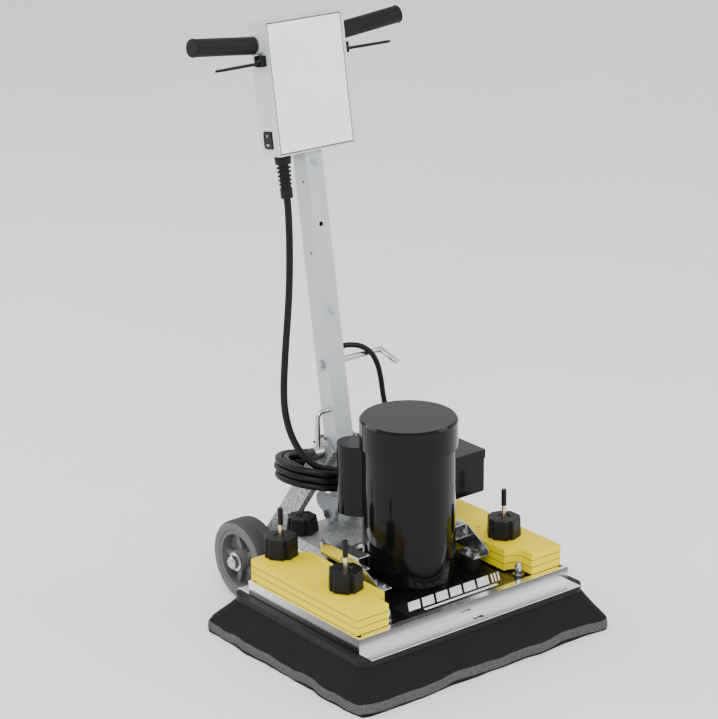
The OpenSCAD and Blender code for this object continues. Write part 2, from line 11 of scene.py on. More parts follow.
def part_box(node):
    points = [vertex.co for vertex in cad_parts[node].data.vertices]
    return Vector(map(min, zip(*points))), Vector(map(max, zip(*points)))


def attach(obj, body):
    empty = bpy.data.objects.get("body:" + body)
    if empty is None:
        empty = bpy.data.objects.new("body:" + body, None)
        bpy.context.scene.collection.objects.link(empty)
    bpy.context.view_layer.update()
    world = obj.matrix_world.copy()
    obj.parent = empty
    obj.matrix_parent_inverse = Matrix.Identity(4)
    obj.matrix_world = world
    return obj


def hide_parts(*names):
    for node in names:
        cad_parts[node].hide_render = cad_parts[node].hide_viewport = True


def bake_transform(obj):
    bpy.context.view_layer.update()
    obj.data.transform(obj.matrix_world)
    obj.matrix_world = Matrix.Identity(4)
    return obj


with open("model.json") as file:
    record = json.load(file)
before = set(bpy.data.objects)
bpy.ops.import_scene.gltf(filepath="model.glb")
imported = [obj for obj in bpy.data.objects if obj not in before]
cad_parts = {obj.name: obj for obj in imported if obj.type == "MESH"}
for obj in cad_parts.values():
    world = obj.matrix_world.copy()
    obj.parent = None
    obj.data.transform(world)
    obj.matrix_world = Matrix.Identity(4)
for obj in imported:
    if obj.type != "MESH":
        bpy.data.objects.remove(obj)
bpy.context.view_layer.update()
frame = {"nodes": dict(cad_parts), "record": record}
MM = 0.001

# ---------------------------------------------------------------- camera

CAMERA_AT = Vector((-2.7935, -3.3947, 2.0866))
CAMERA_YAW = math.radians(-38.25)
CAMERA_ELEVATION = math.radians(19.19)
CAMERA_ROLL = math.radians(-0.55)
CAMERA_LENS = 125.2


def make_camera():
    data = bpy.data.cameras.new("camera")
    data.lens = CAMERA_LENS
    data.sensor_width = 36
    data.clip_end = 50
    camera = bpy.data.objects.new("camera", data)
    bpy.context.scene.collection.objects.link(camera)
    turn = Matrix.Rotation(CAMERA_YAW, 4, "Z") @ Matrix.Rotation(math.pi / 2 - CAMERA_ELEVATION, 4, "X")
    turn = turn @ Matrix.Rotation(CAMERA_ROLL, 4, "Z")
    camera.matrix_world = Matrix.Translation(CAMERA_AT) @ turn
    bpy.context.scene.camera = camera


make_camera()

# ---------------------------------------------------------------- materials


class Nodes:
    """A small builder for one node material."""

    def __init__(self, name):
        self.material = bpy.data.materials.new(name)
        self.material.use_nodes = True
        self.tree = self.material.node_tree
        self.shader = self.tree.nodes["Principled BSDF"]
        self.place = self.tree.nodes.new("ShaderNodeTexCoord").outputs["Object"]

    def add(self, kind, **values):
        node = self.tree.nodes.new("ShaderNode" + kind)
        for key, value in values.items():
            if key in node.inputs:
                node.inputs[key].default_value = value
            else:
                setattr(node, key, value)
        return node

    def link(self, out, into):
        self.tree.links.new(out, into)

    def stretched(self, scale):
        mapping = self.add("Mapping")
        mapping.inputs["Scale"].default_value = scale
        self.link(self.place, mapping.inputs["Vector"])
        return mapping.outputs["Vector"]

    def noise(self, scale, detail=4.0, stretch=None, rough=0.55):
        node = self.add("TexNoise", Scale=scale, Detail=detail, Roughness=rough)
        self.link(self.stretched(stretch) if stretch else self.place, node.inputs["Vector"])
        return node.outputs["Fac"]

    def ramp(self, fac, stops):
        node = self.add("ValToRGB")
        elements = node.color_ramp.elements
        while len(elements) < len(stops):
            elements.new(0.5)
        for element, (place, colour) in zip(elements, stops):
            element.position = place
            element.color = (*colour, 1)
        self.link(fac, node.inputs["Fac"])
        return node.outputs["Color"]

    def span(self, fac, low, high, from_low=0.3, from_high=0.7):
        node = self.add("MapRange")
        limits = {"From Min": from_low, "From Max": from_high, "To Min": low, "To Max": high}
        for name, value in limits.items():
            node.inputs[name].default_value = value
        self.link(fac, node.inputs["Value"])
        return node.outputs["Result"]

    def blend(self, fac, first, second):
        node = self.add("Mix", data_type="RGBA")
        self.link(fac, node.inputs[0])
        for colour, socket in ((first, node.inputs[6]), (second, node.inputs[7])):
            if isinstance(colour, tuple):
                socket.default_value = (*colour, 1)
            else:
                self.link(colour, socket)
        return node.outputs[2]

    def bump(self, height, strength, distance):
        node = self.add("Bump", Strength=strength, Distance=distance)
        self.link(height, node.inputs["Height"])
        previous = self.shader.inputs["Normal"]
        if previous.is_linked:
            self.link(previous.links[0].from_socket, node.inputs["Normal"])
        self.link(node.outputs["Normal"], previous)

    def paint(self, colour, rough):
        for out, name in ((colour, "Base Color"), (rough, "Roughness")):
            self.link(out, self.shader.inputs[name])

    def fixed(self, **values):
        for key, value in values.items():
            self.shader.inputs[key.replace("_", " ")].default_value = value
        return self.material


def shade(colour, factor):
    return tuple(min(1.0, max(0.0, c * factor)) for c in colour)


def painted(name, colour, rough=0.3, spread=0.12, coat=0.0, metal=0.0, peel=0.05, specular=0.5):
    """Sprayed or moulded finish: slight mottling, uneven gloss and orange peel."""
    n = Nodes(name)
    cloud = n.noise(9, 6)
    grain = n.noise(420, 3)
    tone = n.ramp(cloud, [(0.3, shade(colour, 1 - spread)), (0.7, shade(colour, 1 + spread))])
    n.paint(tone, n.span(cloud, rough * 0.8, rough * 1.25))
    n.bump(grain, peel, 0.0006)
    return n.fixed(Metallic=metal, Coat_Weight=coat, Coat_Roughness=0.06, Specular_IOR_Level=specular)


def stacked(name, colour, seams):
    """Painted plates with a shadow line where one lies on the next."""
    n = Nodes(name)
    cloud = n.noise(9, 6)
    tone = n.ramp(cloud, [(0.3, shade(colour, 0.95)), (0.7, shade(colour, 1.04))])
    split = n.add("SeparateXYZ")
    n.link(n.place, split.inputs["Vector"])
    for shadow_line in seams:
        gap = n.add("Math", operation="SUBTRACT")
        gap.inputs[1].default_value = shadow_line
        n.link(split.outputs["Z"], gap.inputs[0])
        size = n.add("Math", operation="ABSOLUTE")
        n.link(gap.outputs[0], size.inputs[0])
        tone = n.blend(n.span(size.outputs[0], 0, 1, 0.0005, 0.0012), shade(colour, 0.3), tone)
    n.paint(tone, n.span(cloud, 0.34, 0.52))
    n.bump(n.noise(420, 3), 0.1, 0.0006)
    return n.fixed(Specular_IOR_Level=0.1)


def brushed(name, colour, rough=0.22, along=0, streak=0.1):
    """Rolled sheet with fine streaks along one axis."""
    n = Nodes(name)
    stretch = [900.0, 900.0, 900.0]
    stretch[along] = 12.0
    lines = n.noise(1.0, 3, stretch)
    cloud = n.noise(14, 5)
    tone = n.ramp(lines, [(0.25, shade(colour, 1 - streak)), (0.75, shade(colour, 1 + streak))])
    smear = n.ramp(cloud, [(0.35, shade(colour, 0.93)), (0.65, shade(colour, 1.03))])
    both = n.blend(cloud, tone, smear)
    n.paint(both, n.span(lines, rough * 0.7, rough * 1.3))
    n.bump(lines, 0.06, 0.0003)
    return n.fixed(Metallic=0.95)


def galvanised(name, colour):
    """Hot-dip zinc with its spangled crystals."""
    n = Nodes(name)
    cell = n.add("TexVoronoi", Scale=300.0)
    n.link(n.place, cell.inputs["Vector"])
    fleck = n.noise(430, 2, rough=0.7)
    crystals = [(0.2, shade(colour, 0.45)), (0.55, colour), (0.85, shade(colour, 1.9))]
    tone = n.ramp(cell.outputs["Color"], crystals)
    dots = n.ramp(fleck, [(0.42, shade(colour, 0.25)), (0.58, shade(colour, 2.2))])
    both = n.blend(n.noise(30, 6), tone, dots)
    n.paint(both, n.span(fleck, 0.3, 0.55))
    n.bump(cell.outputs["Distance"], 0.12, 0.0004)
    return n.fixed(Metallic=0.6)


def painted_reflection_steel(name, colour):
    """Polished profile with a painted reflection of the dark deck and skirt around it: the base colour of
    its upright faces is darkened, towards the top on front and back faces and towards the front on side
    faces.
    """
    n = Nodes(name)
    split = n.add("SeparateXYZ")
    n.link(n.place, split.inputs["Vector"])
    facing = n.add("SeparateXYZ")
    n.link(n.tree.nodes.new("ShaderNodeTexCoord").outputs["Normal"], facing.inputs["Vector"])
    # painted reflection: front and back faces darken towards the top, side faces darken towards the front,
    # top faces stay plain
    high = n.ramp(n.span(split.outputs["Z"], 0, 1, 0.09, 0.121),
                  [(0.1, shade(colour, 1.0)), (0.45, shade(colour, 0.85)), (0.75, shade(colour, 0.3)),
                   (0.93, shade(colour, 0.14))])
    painted_reflection_along_y = n.ramp(n.span(split.outputs["Y"], 0, 1, -0.17, 0.17),
                  [(0.0, shade(colour, 0.12)), (0.45, shade(colour, 0.3)), (0.95, shade(colour, 0.95))])
    turned = []
    for axis in "XY":
        size = n.add("Math", operation="ABSOLUTE")
        n.link(facing.outputs[axis], size.inputs[0])
        turned.append(n.span(size.outputs[0], 0, 1, 0.5, 0.6))
    tone = n.blend(turned[0], n.blend(turned[1], shade(colour, 1.05), high), painted_reflection_along_y)
    streaks = n.noise(1.0, 3, (12.0, 900.0, 900.0))
    n.paint(tone, n.span(streaks, 0.1, 0.22))
    n.bump(streaks, 0.04, 0.0003)
    return n.fixed(Metallic=0.95)


def machined(name, colour, rough=0.25):
    """Turned or plated metal with an even, faintly cloudy shine."""
    n = Nodes(name)
    cloud = n.noise(60, 5)
    fine = n.noise(700, 2)
    tone = n.ramp(cloud, [(0.3, shade(colour, 0.85)), (0.7, shade(colour, 1.08))])
    n.paint(tone, n.span(cloud, rough * 0.7, rough * 1.4))
    n.bump(fine, 0.05, 0.0003)
    return n.fixed(Metallic=0.95)


def rubber(name, colour, rough=0.6, grain=500, depth=0.25, spread=0.25):
    """Rubber or grained plastic: mottled, with a fine matt grain."""
    n = Nodes(name)
    cloud = n.noise(22, 6)
    fine = n.noise(grain, 4)
    tone = n.ramp(cloud, [(0.3, shade(colour, 1 - spread)), (0.7, shade(colour, 1 + spread))])
    n.paint(tone, n.span(fine, rough * 0.85, rough * 1.15))
    n.bump(fine, depth, 0.0008)
    return n.fixed(Specular_IOR_Level=0.2)


def foam(name, colour, dust, low, high):
    """Cut rubber foam: open pores, with pale dust gathering between two heights."""
    n = Nodes(name)
    pores = n.add("TexVoronoi", Scale=330.0)
    n.link(n.place, pores.inputs["Vector"])
    cloud = n.noise(16, 7)
    grain = n.noise(240, 5)
    split = n.add("SeparateXYZ")
    n.link(n.place, split.inputs["Vector"])
    height = n.span(split.outputs["Z"], 0.55, 0.0, low, high)
    patchy = n.add("Math", operation="MULTIPLY")
    n.link(height, patchy.inputs[0])
    n.link(n.span(cloud, 0.2, 1.0, 0.35, 0.7), patchy.inputs[1])
    base = n.ramp(grain, [(0.25, shade(colour, 0.6)), (0.75, shade(colour, 1.5))])
    n.paint(n.blend(patchy.outputs[0], base, dust), n.span(grain, 0.7, 0.95))
    n.bump(pores.outputs["Distance"], 0.35, 0.0012)
    n.bump(cloud, 0.35, 0.006)
    return n.fixed(Specular_IOR_Level=0.12)


PLATE_PITCH = 14.3
HALF_GAP = 0.2
PLATE_SEAMS = [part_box("ballast_left")[0][2] + (i * PLATE_PITCH - HALF_GAP) * MM for i in (1, 2)]
MATERIALS = {
    "gloss_black": painted("gloss_black", (0.005, 0.005, 0.0052), 0.14, 0.2, specular=0.16),
    "motor_black": painted("motor_black", (0.004, 0.004, 0.0042), 0.1, 0.15, specular=0.16, peel=0.02),
    "stainless": brushed("stainless", (0.86, 0.87, 0.88), 0.14, 0, 0.05),
    "steel": machined("steel", (0.5, 0.51, 0.52)),
    "iron": painted("iron", (0.25, 0.26, 0.27), 0.5, 0.2, metal=0.7, peel=0.4),
    "yellow": stacked("yellow", (0.84, 0.66, 0.0), PLATE_SEAMS),
    "zinc": machined("zinc", (0.78, 0.68, 0.38), 0.25),
    "vinyl": rubber("vinyl", (0.005, 0.005, 0.005), 0.35, 300, 0.1),
    "galvanised": galvanised("galvanised", (0.36, 0.37, 0.38)),
    "chrome": machined("chrome", (0.5, 0.51, 0.52), 0.2),
    "knob_black": rubber("knob_black", (0.005, 0.005, 0.0052), 0.42, 600, 0.12),
    "white_box": painted("white_box", (0.58, 0.585, 0.59), 0.38, 0.02, peel=0.12),
    "tube_grey": painted("tube_grey", (0.45, 0.48, 0.505), 0.33, 0.03, peel=0.12),
    "grip_black": rubber("grip_black", (0.006, 0.006, 0.0062), 0.55, 900, 0.3),
    "cord_black": rubber("cord_black", (0.005, 0.005, 0.005), 0.42, 260, 0.15),
    "plastic": rubber("plastic", (0.008, 0.008, 0.0085), 0.4, 500, 0.1),
    "tyre_grey": rubber("tyre_grey", (0.125, 0.126, 0.128), 0.62, 350, 0.15, 0.08),
    "rim_grey": rubber("rim_grey", (0.12, 0.122, 0.125), 0.5, 500, 0.1, 0.1),
    "rubber": rubber("rubber", (0.008, 0.008, 0.008), 0.55, 260, 0.3),
    "skirt_foam": foam("skirt_foam", (0.009, 0.009, 0.009), (0.015, 0.015, 0.015), 0.02, 0.09),
    "abrasive": rubber("abrasive", (0.08, 0.08, 0.08), 0.8, 180, 0.9),
}
SKIRT_EDGE = foam("skirt_edge", (0.075, 0.075, 0.076), (0.09, 0.09, 0.09), 0.0, 0.03)
TREAD_GREY = rubber("tread_grey", (0.05, 0.051, 0.052), 0.7, 350, 0.15, 0.08)
PANEL_WHITE = painted("panel_white", (0.95, 0.95, 0.95), 0.32, 0.008, peel=0.05)
LABEL_BLACK = painted("label_black", (0.01, 0.01, 0.01), 0.2, 0.1, coat=0.4)
LABEL_WHITE = painted("label_white", (0.85, 0.85, 0.85), 0.3, 0.03)
# deck rim steel with a painted reflection of the dark deck and skirt on its upright faces
PAINTED_REFLECTION_STEEL = painted_reflection_steel("painted_reflection_steel", (0.88, 0.89, 0.9))


def dress(node, material, bevel=0.0):
    """Gives a CAD node its material and, where asked, soft edges."""
    obj = frame["nodes"][node]
    obj.data.materials.clear()
    obj.data.materials.append(material)
    if bevel:
        weld = obj.modifiers.new("weld", "WELD")
        weld.merge_threshold = 0.00002
        soft = obj.modifiers.new("bevel", "BEVEL")
        soft.width = bevel
        soft.segments = 2
        soft.limit_method = "ANGLE"
        soft.angle_limit = math.radians(40)
        obj.modifiers.new("even", "WEIGHTED_NORMAL").keep_sharp = True


def dress_all():
    slots = {row["node"]: row["material_slot"] for row in frame["record"]["subparts"]}
    for node in frame["nodes"]:
        dress(node, MATERIALS[slots[node]], BEVELS.get(node, 0.0))
    frame["nodes"]["box_panel"].data.materials[0] = PANEL_WHITE
    # the deck rims take the steel with the painted reflection
    frame["nodes"]["deck_rims"].data.materials[0] = PAINTED_REFLECTION_STEEL


BEVELS = {
    "control_box": 1.5 * MM,
    "box_panel": 0.8 * MM,
    "handle_tube": 2.0 * MM,
    "handle_foot": 1.0 * MM,
    "terminal_box": 1.5 * MM,
    "terminal_lid": 1.5 * MM,
    "capacitor_cover": 1.2 * MM,
    "deck_rims": 0.4 * MM,
    "side_channels": 0.8 * MM,
    "foot_brackets": 0.6 * MM,
    "chassis_member": 0.8 * MM,
    "struts": 0.6 * MM,
    "head_fasteners": 0.4 * MM,
    "lever_left": 0.5 * MM,
    "lever_right": 0.5 * MM,
    "lever_housings": 1.0 * MM,
    "mains_plug": 1.5 * MM,
    "rocker": 0.6 * MM,
    "rubber_mounts": 1.0 * MM,
    "axle": 0.5 * MM,
}

# ---------------------------------------------------------------- mesh helpers


def new_piece(name, points, faces, material, body, smooth=True):
    mesh = bpy.data.meshes.new(name)
    mesh.from_pydata([tuple(p) for p in points], [], faces)
    mesh.update()
    piece = bpy.data.objects.new(name, mesh)
    bpy.context.scene.collection.objects.link(piece)
    materials = material if isinstance(material, list) else [material]
    for one in materials:
        mesh.materials.append(one)
    for polygon in mesh.polygons:
        polygon.use_smooth = smooth
    work = bmesh.new()
    work.from_mesh(mesh)
    bmesh.ops.recalc_face_normals(work, faces=work.faces)
    work.to_mesh(mesh)
    work.free()
    if body:
        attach(piece, body)
    return piece


def stack(rings, closed_ends=True, loop=True):
    """Points and quad faces that join rings of equal count."""
    count = len(rings[0])
    points = [p for ring in rings for p in ring]
    faces = []
    for i in range(len(rings) - 1):
        for k in range(count if loop else count - 1):
            m = (k + 1) % count
            faces.append((i * count + k, i * count + m, (i + 1) * count + m, (i + 1) * count + k))
    if closed_ends:
        faces.append(tuple(range(count)))
        faces.append(tuple(range((len(rings) - 1) * count, len(rings) * count)))
    return points, faces


def smooth_path(points, step):
    """A Catmull-Rom curve through the points, sampled about every step."""
    points = [Vector(p) for p in points]
    result = []
    for i in range(len(points) - 1):
        before = points[i - 1] if i else 2 * points[0] - points[1]
        a, b = points[i], points[i + 1]
        after = points[i + 2] if i + 2 < len(points) else 2 * points[-1] - points[-2]
        cuts = max(1, round((b - a).length / step))
        for k in range(cuts):
            t = k / cuts
            square = 2 * before - 5 * a + 4 * b - after
            cube = 3 * a - before - 3 * b + after
            result.append(0.5 * (2 * a + (b - before) * t + square * t * t + cube * t ** 3))
    result.append(points[-1])
    return result


def length_of(path):
    return sum((b - a).length for a, b in zip(path, path[1:]))


def tube(name, path, radius, material, body, sides=20):
    """A round tube along a path, with frames carried along it."""
    rings = []
    side = None
    for i, point in enumerate(path):
        ahead = (path[min(i + 1, len(path) - 1)] - path[max(i - 1, 0)]).normalized()
        side = ahead.orthogonal() if side is None else side - ahead * side.dot(ahead)
        side.normalize()
        other = ahead.cross(side)
        rings.append([point + radius * (math.cos(a) * side + math.sin(a) * other)
                      for a in (2 * math.pi * k / sides for k in range(sides))])
    return new_piece(name, *stack(rings), material, body)


def prism(name, outline, low, high, material, body, place=None, bevel=0.0):
    """An extruded outline, moved to its place, with soft edges."""
    rings = [[Vector((x, y, z)) for x, y in outline] for z in (low, high)]
    points, faces = stack(rings)
    if place is not None:
        points = [place @ p for p in points]
    piece = new_piece(name, points, faces, material, body, smooth=False)
    if bevel:
        soft = piece.modifiers.new("bevel", "BEVEL")
        soft.width = bevel
        soft.segments = 2
        soft.limit_method = "ANGLE"
    return piece


def arc(cx, cy, radius, start, end, cuts):
    """Points on an arc between two angles in degrees."""
    angles = [math.radians(start + (end - start) * k / cuts) for k in range(cuts + 1)]
    return [(cx + radius * math.cos(a), cy + radius * math.sin(a)) for a in angles]


def round_box(x0, x1, y0, y1, radius, cuts=6):
    """A rectangle with round corners, as a list of points."""
    left, right, front, back = x0 + radius, x1 - radius, y0 + radius, y1 - radius
    return (arc(right, back, radius, 0, 90, cuts) + arc(left, back, radius, 90, 180, cuts)
            + arc(left, front, radius, 180, 270, cuts) + arc(right, front, radius, 270, 360, cuts))


# The handle's own frame: z along the tube, y backwards
LEAN = math.radians(9)
TUBE = Matrix.Translation((0, 0.161, 0)) @ Matrix.Rotation(-LEAN, 4, "X")
PANEL_X = (-83.7, 89.5)
PANEL_S = (914, 1160.2)
PANEL_FACE = -31.6
ROCKER_S = 941
ROCKER_FACE = -88.4

# ---------------------------------------------------------------- cords

CORD_D = 14 * MM
FOLD = 60
RUN = 58
COIL = Matrix.Translation((0.008, 0.2305, 0.264)) @ Matrix.Rotation(math.radians(12), 4, "Y")
CORD_ROUTE = [(-60, 288.4, 817), (-61, 284, 787), (-65, 277, 745), (-70, 271, 695), (-76, 266, 645),
              (-84, 261, 595), (-94, 255, 545), (-104, 248, 495), (-112, 241, 450), (-115, 233, 410),
              (-112, 222, 372), (-101, 210, 338), (-84, 195, 312), (-62, 183, 297)]
LEAD_D = 11 * MM
LEAD_ROUTE = [(0, 257, 470), (10, 267, 478), (28, 268, 493), (46, 260, 504), (62, 249, 506),
              (78, 237, 502), (91, 225, 489), (100, 217, 465), (105, 213, 435), (107, 208, 400),
              (109, 196, 360), (114, 176, 322), (124, 154, 295), (132, 136, 281), (132, 118.4, 281)]


def ease(t, start, end):
    """0 before start, 1 after end, and a soft step between them."""
    t = min(1, max(0, (t - start) / (end - start)))
    return t * t * (3 - 2 * t)


def coil_points():
    """Six turns: three down the inner column, then three up the outer one."""
    pitch = 14
    climb = 34
    tuck = 7
    points = []
    for turn in range(6):
        inner = turn < 3
        radius = FOLD if inner else FOLD + pitch
        row = pitch * (1 - turn) if inner else pitch * (turn - 4)
        last = turn == 5
        start = -RUN * 0.3 if turn == 0 else -RUN
        for k in range(8):
            points.append((start + (RUN - start) * k / 8, -radius, row))
        for k in range(17):
            t = k / 16
            rise = 0 if inner else (climb if last else pitch) * ease(t, 0, 1)
            r = radius - (tuck * ease(t, 0.8, 1) if last else 0)
            angle = math.radians(-90 + 180 * t)
            points.append((RUN + r * math.cos(angle), r * math.sin(angle), row + rise))
        if last:
            points.append((RUN - 6, radius - tuck, row + climb))
            break
        row = row if inner else row + pitch
        for k in range(1, 8):
            points.append((RUN - 2 * RUN * k / 8, radius, row))
        for k in range(17):
            t = k / 16
            grow = pitch * ease(t, 0, 0.5) if turn == 2 else 0
            drop = pitch * ease(t, 0.5, 1) if turn < 2 else 0
            angle = math.radians(90 + 180 * t)
            r = radius + grow
            points.append((-RUN + r * math.cos(angle), r * math.sin(angle), row - drop))
    unique = [points[0]]
    for p in points[1:]:
        if math.dist(p, unique[-1]) > 0.5:
            unique.append(p)
    return [COIL @ (Vector(p) * MM) for p in unique]


def make_mains_cord():
    hang = [Vector(p) * MM for p in CORD_ROUTE]
    path = smooth_path(hang + coil_points(), 6 * MM)
    curve = bpy.data.curves.new("mains_cord_flex", "CURVE")
    curve.dimensions = "3D"
    curve.bevel_depth = CORD_D / 2
    curve.bevel_resolution = 5
    curve.use_fill_caps = True
    spline = curve.splines.new("POLY")
    spline.points.add(len(path) - 1)
    for point, place in zip(spline.points, path):
        point.co = (*place, 1)
    spline.use_smooth = True
    curve.materials.append(MATERIALS["cord_black"])
    cord = bpy.data.objects.new("mains_cord_flex", curve)
    bpy.context.scene.collection.objects.link(cord)
    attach(cord, "handle")
    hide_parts("mains_cord", "cord_coil")
    print("cord length", round(length_of(path), 3))


def make_motor_lead():
    path = smooth_path([Vector(p) * MM for p in LEAD_ROUTE], 5 * MM)
    lead = tube("motor_lead_flex", path, LEAD_D / 2, MATERIALS["cord_black"], None)
    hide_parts("motor_lead")
    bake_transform(lead)


make_mains_cord()
make_motor_lead()
dress_all()

# ---------------------------------------------------------------- skirt

SKIRT_TOP = 78
SKIRT_BAND = 24


def ragged(phase):
    """A saw-like wave for torn foam edges."""
    return math.sin(phase + 0.7 * math.sin(phase))


def skirt_ring(outset, z, sag, count_per_side=60):
    """One ring of the skirt. outset runs from 0 under the collar to 1 at the floor."""
    half_x = 276 + 27 * outset
    front = -204 - 31 * outset
    back = 206 + 52 * outset
    radius = 30 - 4 * outset
    corner_reach, corner_pull = 90, 12
    ring = []
    corners = [(half_x, back, 0), (-half_x, back, 90), (-half_x, front, 180), (half_x, front, 270)]
    for i, (x, y, start) in enumerate(corners):
        cx = x - math.copysign(radius, x)
        cy = y - radius if y > 0 else y + radius
        ring += [(px, py) for px, py in arc(cx, cy, radius, start, start + 90, 14)]
        nx, ny, turn = corners[(i + 1) % 4]
        to = (nx - math.copysign(radius, nx), ny - radius if ny > 0 else ny + radius)
        a = ring[-1]
        b = (to[0] + radius * math.cos(math.radians(turn)), to[1] + radius * math.sin(math.radians(turn)))
        for k in range(1, count_per_side):
            t = k / count_per_side
            ring.append((a[0] + (b[0] - a[0]) * t, a[1] + (b[1] - a[1]) * t))
    middle = Vector((0, (front + back) / 2, 0))
    points = []
    for k, (x, y) in enumerate(ring):
        out = (Vector((x, y, 0)) - middle).normalized()
        phase = 2 * math.pi * k / len(ring)
        wave = 2.2 * math.sin(9 * phase + 0.4) + 2.2 * ragged(17 * phase + 1.9)
        wave += 1.6 * ragged(29 * phase)
        lift = 1.5 * math.sin(11 * phase + 2.2) + 1.4 * ragged(21 * phase + 0.7)
        near = max(0.0, 1 - math.dist((x, y), (half_x, front)) / corner_reach)
        pull = corner_pull * outset * near * near
        point = Vector((x, y, z)) + out * (wave * outset * 0.7 - sag + pull)
        point.z = max(0.0, point.z + (lift * outset if 2 < z < 60 else 0))
        points.append(point * MM)
    return points


def make_skirt():
    """The foam hood, from rows of outset, height and inward sag."""
    profile = [(0.0, SKIRT_TOP, 22), (0.0, SKIRT_TOP, 2), (0.03, SKIRT_TOP - 2, 0), (0.12, 72, 0.4),
               (0.3, 62, 1.2), (0.5, 51.5, 1.5), (0.7, 41, 1.4), (0.86, 32, 0.8), (0.95, 27, 0.3),
               (0.985, SKIRT_BAND, 0.1), (1.0, SKIRT_BAND - 1.2, 0), (1.02, 14, 0), (1.02, 6, 0),
               (1.0, 1.5, 0), (0.98, 0, 1.0), (0.6, 0, 14), (0.6, 3, 16), (0.0, SKIRT_TOP - 8, 22)]
    rings = [skirt_ring(*row) for row in profile]
    points, faces = stack(rings, closed_ends=False)
    count = len(rings[0])
    last = (len(rings) - 1) * count
    for k in range(count):
        m = (k + 1) % count
        faces.append((last + k, last + m, m, k))
    skirt = new_piece("skirt_foam_hood", points, faces, [MATERIALS["skirt_foam"], SKIRT_EDGE], "head")
    band = [i for i, row in enumerate(profile) if 6 < row[1] <= SKIRT_BAND and row[0] > 0.9]
    for polygon in skirt.data.polygons:
        polygon.material_index = int(polygon.index // count in band)
    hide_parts("skirt")


make_skirt()

# ---------------------------------------------------------------- knobs


KNOB_SIDES = 200
LOBE_REACH = 31
LOBE_HALF = 16
STUD_HOLE = 4.1
KNOB_PLACES = {"front_left": (-195, -52), "front_right": (195, -52), "rear_left": (-195, 148),
               "rear_right": (195, 148), "chassis": (-96, 212)}


def knob_outline():
    """Radii round a chunky five-lobed knob, with its corners eased."""
    radii = []
    for k in range(KNOB_SIDES):
        turn = (2 * math.pi * k / KNOB_SIDES + math.pi / 5) % (2 * math.pi / 5) - math.pi / 5
        radii.append(min(LOBE_REACH / math.cos(turn), LOBE_HALF / max(0.01, abs(math.sin(turn)))))
    reach = (-2, -1, 0, 1, 2)
    return [sum(radii[(k + j) % KNOB_SIDES] for j in reach) / len(reach) for k in range(KNOB_SIDES)]


def make_knob(key):
    """A moulded star knob: open on its stud, or blind with a dimple where it closes the stud's end."""
    node = "knob_" + key
    x, y = KNOB_PLACES[key]
    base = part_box(node)[0][2] / MM
    blind = key == "chassis"
    height = 30 if blind else 39
    taper = 0.14 if blind else 0.03
    recess = height - 1.6
    profile = [(0, 0.5), (0, 0.93), (0.6, 0.98), (1.6, 1.0), (height * 0.5, 1.0), (recess, 1.0),
               (height - 0.5, 0.975), (height, 0.93), (height, 0.42), (recess, 0.36)]
    rings = []
    outline = knob_outline()
    for z, size in profile:
        size *= 1 - taper * z / height
        rings.append([(size * r, z) for r in outline])
    hole = 0.6 if blind else STUD_HOLE
    floor = height - 5 if blind else 0.0
    rings += [[(6.0 if blind else hole, recess)] * KNOB_SIDES, [(hole, floor)] * KNOB_SIDES]
    turns = [2 * math.pi * k / KNOB_SIDES for k in range(KNOB_SIDES)]
    rings = [[Vector((x + r * math.cos(a), y + r * math.sin(a), base + z)) * MM
              for a, (r, z) in zip(turns, ring)] for ring in rings]
    points, faces = stack(rings, closed_ends=blind)
    if not blind:
        last = (len(rings) - 1) * KNOB_SIDES
        for k in range(KNOB_SIDES):
            m = (k + 1) % KNOB_SIDES
            faces.append((last + k, last + m, m, k))
    knob = new_piece(node + "_star", points, faces, MATERIALS["knob_black"], node, smooth=False)
    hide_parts(node)


for place in KNOB_PLACES:
    make_knob(place)

# ---------------------------------------------------------------- tyres


def make_tyre(side):
    """A solid tyre with rounded shoulders and a fine mould line round its tread."""
    sign = -1 if side == "left" else 1
    low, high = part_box("tyre_" + side)
    centre = (Vector(low) + Vector(high)) / 2
    half = (high[0] - low[0]) / 2 / MM
    outer = (high[2] - low[2]) / 2 / MM
    flank = [(61.8, half - 2.2), (64, half - 1), (67, half - 0.3), (outer - 8, half),
             (outer - 4, half - 1.4), (outer - 1.6, half - 4.4), (outer - 0.3, half - 9),
             (outer, half - 13), (outer, 0.8), (outer - 0.3, 0.4)]
    profile = [(r, -x) for r, x in flank] + flank[::-1]
    sides = 192
    rings = []
    for k in range(sides):
        angle = 2 * math.pi * k / sides
        ring = []
        for r, x in profile:
            ring.append(centre + Vector((sign * x, r * math.cos(angle), r * math.sin(angle))) * MM)
        rings.append(ring)
    rings.append(rings[0])
    points, faces = stack(rings, closed_ends=False)
    greys = [MATERIALS["tyre_grey"], TREAD_GREY]
    tyre = new_piece(f"tyre_{side}_tread", points, faces, greys, "wheel_" + side)
    shoulder = outer - 5
    tread = [i for i, (a, b) in enumerate(zip(profile, profile[1:])) if min(a[0], b[0]) > shoulder]
    for polygon in tyre.data.polygons:
        polygon.material_index = int(polygon.index % len(profile) in tread)
    weld = tyre.modifiers.new("weld", "WELD")
    weld.merge_threshold = 0.00001
    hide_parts("tyre_" + side)


for wheel in ("left", "right"):
    make_tyre(wheel)

# ---------------------------------------------------------------- small pieces


